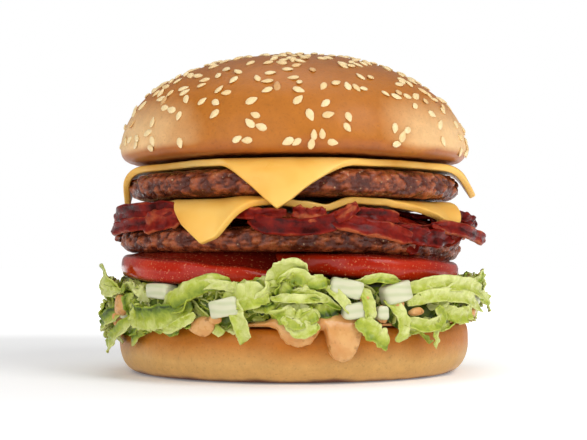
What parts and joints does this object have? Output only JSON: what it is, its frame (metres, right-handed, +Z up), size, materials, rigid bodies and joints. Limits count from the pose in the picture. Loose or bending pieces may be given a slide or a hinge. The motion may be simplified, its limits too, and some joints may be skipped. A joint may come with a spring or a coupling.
{
  "type": "double cheeseburger",
  "caption": "Tall cheeseburger: stacked beef patties with draped cheese slices, bacon, tomato, onion, shredded lettuce and sauce in a sesame bun.",
  "frame": {"origin": "centre of the flat underside of the bottom bun", "axes": "+Z up through the stack, -Y towards the front, where the hanging cheese corners and the sauce runs show, +X to the right seen from the front"},
  "size_m": [0.1237, 0.121, 0.0998],
  "materials": {
    "crown_crust": "soft baked crust, satin",
    "heel_crust": "soft baked crust, matt",
    "beef": "coarse grilled, glistening in spots",
    "cheese": "soft satin, half melted",
    "tomato": "wet, glossy",
    "bacon": "fried, greasy sheen",
    "lettuce": "crisp leaf, satin",
    "sauce": "thick and creamy, glossy",
    "onion": "wet, translucent white"
  },
  "bodies": {
    "root": {"crown": "crown_crust", "heel": "heel_crust", "upper_patty": "beef", "lower_patty": "beef", "upper_cheese": "cheese", "lower_cheese": "cheese", "tomato_left": "tomato", "tomato_right": "tomato", "bacon_front": "bacon", "bacon_middle": "bacon", "bacon_back": "bacon", "bacon_top_left": "bacon", "bacon_top_right": "bacon", "lettuce": "lettuce", "sauce": "sauce", "onion_left": "onion", "onion_left_low": "onion", "onion_centre_left": "onion", "onion_centre": "onion", "onion_centre_low": "onion", "onion_right_low": "onion", "onion_right": "onion", "onion_far_right": "onion"}
  },
  "joints": []
}
